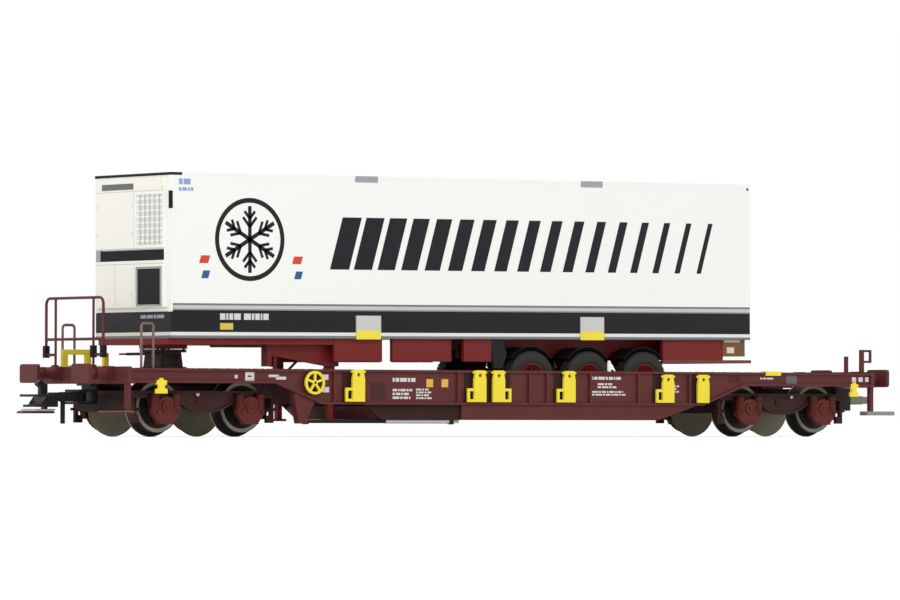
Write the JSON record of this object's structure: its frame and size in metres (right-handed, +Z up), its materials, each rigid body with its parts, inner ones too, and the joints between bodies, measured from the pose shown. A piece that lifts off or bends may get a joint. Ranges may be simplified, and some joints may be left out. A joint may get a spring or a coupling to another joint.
{
  "type": "pocket wagon with a refrigerated semi-trailer, model railway size",
  "caption": "Bogie pocket wagon carrying a refrigerated semi-trailer, as a small model: bogies swivel, wheels turn, trailer lifts off.",
  "frame": {"origin": "on the floor midway between the bogie pivots, under the lowest points of the wheel flanges", "axes": "+X along the wagon towards the trailer's doors, +Y to the far side, +Z up"},
  "size_m": [0.2201, 0.0356, 0.0552],
  "materials": {
    "wagon_red_plastic": "moulded and painted oxide red-brown, satin",
    "bogie_brown_plastic": "moulded red-brown, dull",
    "yellow_plastic": "moulded signal yellow",
    "black_plastic": "moulded black, dull",
    "bright_wire": "drawn wire, bright",
    "blackened_wheels": "turned, with dulled grey-green faces",
    "box_white_plastic": "moulded white, printed with a navy band",
    "grey_plastic": "moulded light grey",
    "trailer_red_plastic": "moulded dark red",
    "tyre_rubber": "moulded soft black tyres"
  },
  "bodies": {
    "wagon": {"side_sill_far": "wagon_red_plastic", "side_sill_near": "wagon_red_plastic", "deck_plates": "wagon_red_plastic", "deck_frames": "wagon_red_plastic", "headstocks": "wagon_red_plastic", "pocket_floor": "wagon_red_plastic", "pocket_cheeks": "wagon_red_plastic", "pocket_ribs": "wagon_red_plastic", "buffers": "wagon_red_plastic", "coupler_pocket_left": "black_plastic", "coupler_pocket_right": "black_plastic", "sill_lugs": "yellow_plastic", "deck_spigots": "yellow_plastic", "handwheels": "yellow_plastic", "end_railing": "wagon_red_plastic", "grab_hoops": "wagon_red_plastic", "lamp_fittings": "wagon_red_plastic", "corner_steps": "wagon_red_plastic", "brake_bracket": "wagon_red_plastic", "brake_rod": "bright_wire", "hitch_pedestal": "black_plastic", "hitch_plate": "black_plastic"},
    "bogie_left": {"bogie_left_frame": "bogie_brown_plastic", "bogie_left_axleboxes": "bogie_brown_plastic"},
    "wheelset_left_outer": {"bogie_left_wheelset_outer": "blackened_wheels"},
    "wheelset_left_inner": {"bogie_left_wheelset_inner": "blackened_wheels"},
    "bogie_right": {"bogie_right_frame": "bogie_brown_plastic", "bogie_right_axleboxes": "bogie_brown_plastic"},
    "wheelset_right_inner": {"bogie_right_wheelset_inner": "blackened_wheels"},
    "wheelset_right_outer": {"bogie_right_wheelset_outer": "blackened_wheels"},
    "coupler": {"coupler_left": "black_plastic"},
    "trailer": {"box_floor": "box_white_plastic", "box_bottom_rails": "grey_plastic", "box_wall_far": "box_white_plastic", "box_wall_near": "box_white_plastic", "box_front_wall": "box_white_plastic", "box_roof": "box_white_plastic", "box_rear_frame": "box_white_plastic", "box_door_far": "box_white_plastic", "box_door_near": "box_white_plastic", "refrigeration_unit": "box_white_plastic", "refrigeration_grille": "grey_plastic", "lift_plates": "grey_plastic", "neck_frame": "trailer_red_plastic", "landing_gear_frame": "trailer_red_plastic", "landing_legs": "trailer_red_plastic", "side_panels": "trailer_red_plastic", "axle_frame": "trailer_red_plastic", "mudguards": "black_plastic", "underrun_bar": "trailer_red_plastic", "rear_lamp_blocks": "trailer_red_plastic"},
    "trailer_axle_1": {"road_wheels_1": "trailer_red_plastic", "road_tyres_1": "tyre_rubber"},
    "trailer_axle_2": {"road_wheels_2": "trailer_red_plastic", "road_tyres_2": "tyre_rubber"},
    "trailer_axle_3": {"road_wheels_3": "trailer_red_plastic", "road_tyres_3": "tyre_rubber"}
  },
  "joints": [
    {"name": "bogie_left_swivel", "type": "hinge", "parent": "wagon", "child": "bogie_left", "pos_m": [-0.0759, 0, 0.0095], "axis": [0, 0, 1], "range_deg": [-12, 12]},
    {"name": "wheelset_left_outer_roll", "type": "hinge", "parent": "bogie_left", "child": "wheelset_left_outer", "pos_m": [-0.08625, 0, 0.0062], "axis": [0, 1, 0], "continuous": true},
    {"name": "wheelset_left_inner_roll", "type": "hinge", "parent": "bogie_left", "child": "wheelset_left_inner", "pos_m": [-0.06555, 0, 0.0062], "axis": [0, 1, 0], "continuous": true},
    {"name": "bogie_right_swivel", "type": "hinge", "parent": "wagon", "child": "bogie_right", "pos_m": [0.0759, 0, 0.0095], "axis": [0, 0, 1], "range_deg": [-12, 12]},
    {"name": "wheelset_right_inner_roll", "type": "hinge", "parent": "bogie_right", "child": "wheelset_right_inner", "pos_m": [0.06555, 0, 0.0062], "axis": [0, 1, 0], "continuous": true},
    {"name": "wheelset_right_outer_roll", "type": "hinge", "parent": "bogie_right", "child": "wheelset_right_outer", "pos_m": [0.08625, 0, 0.0062], "axis": [0, 1, 0], "continuous": true},
    {"name": "coupler_swing", "type": "hinge", "parent": "wagon", "child": "coupler", "pos_m": [-0.0989, 0, 0.0082], "axis": [0, 0, 1], "range_deg": [-10, 10]},
    {"name": "trailer_lift", "type": "slide", "parent": "wagon", "child": "trailer", "axis": [0, 0, 1], "range_m": [0, 0.02]},
    {"name": "trailer_axle_1_roll", "type": "hinge", "parent": "trailer", "child": "trailer_axle_1", "pos_m": [0.0061, 0, 0.01252], "axis": [0, 1, 0], "continuous": true},
    {"name": "trailer_axle_2_roll", "type": "hinge", "parent": "trailer", "child": "trailer_axle_2", "pos_m": [0.02115, 0, 0.01252], "axis": [0, 1, 0], "continuous": true},
    {"name": "trailer_axle_3_roll", "type": "hinge", "parent": "trailer", "child": "trailer_axle_3", "pos_m": [0.0362, 0, 0.01252], "axis": [0, 1, 0], "continuous": true}
  ]
}
